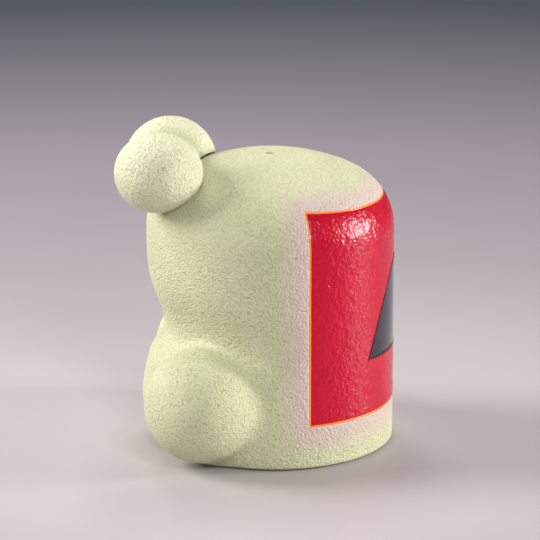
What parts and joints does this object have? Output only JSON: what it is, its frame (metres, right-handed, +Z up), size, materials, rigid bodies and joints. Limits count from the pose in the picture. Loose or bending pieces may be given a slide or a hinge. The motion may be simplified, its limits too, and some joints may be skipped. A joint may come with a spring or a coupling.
{
  "type": "domed art figure",
  "caption": "Hollow domed art figure with rounded lower lobes, a swivelling lobed topknot, a curved gloss front panel and a press-in base plate.",
  "frame": {"origin": "on the body's upright axis, in the plane of the flat underside that the figure stands on", "axes": "+Z up, -Y towards the front panel, +Y towards the waist and lobes at the back, +X to the figure's left"},
  "size_m": [0.1164, 0.1004, 0.1196],
  "materials": {
    "body_stipple": "matt pale celadon with a sprayed sandy stipple, and a pinkish haze round the front panel",
    "topknot_stipple": "matt pale celadon with a sprayed sandy stipple",
    "red_gloss": "high gloss over a pebbled ground",
    "orange_gloss": "satin",
    "black_gloss": "smooth mirror gloss",
    "base_plastic": "matt",
    "bush_plastic": "satin moulded",
    "peg_plastic": "satin moulded"
  },
  "bodies": {
    "body": {"body_shell": "body_stipple", "front_panel": "red_gloss", "panel_border": "orange_gloss", "arch_inlay": "black_gloss", "base_plate": "base_plastic", "swivel_bush": "bush_plastic"},
    "topknot": {"topknot_shell": "topknot_stipple", "swivel_peg": "peg_plastic"}
  },
  "joints": [
    {"name": "topknot_swivel", "type": "hinge", "parent": "body", "child": "topknot", "pos_m": [0, 0.03343, 0.09964], "axis": [0, 0.4695, 0.8829], "continuous": true}
  ]
}
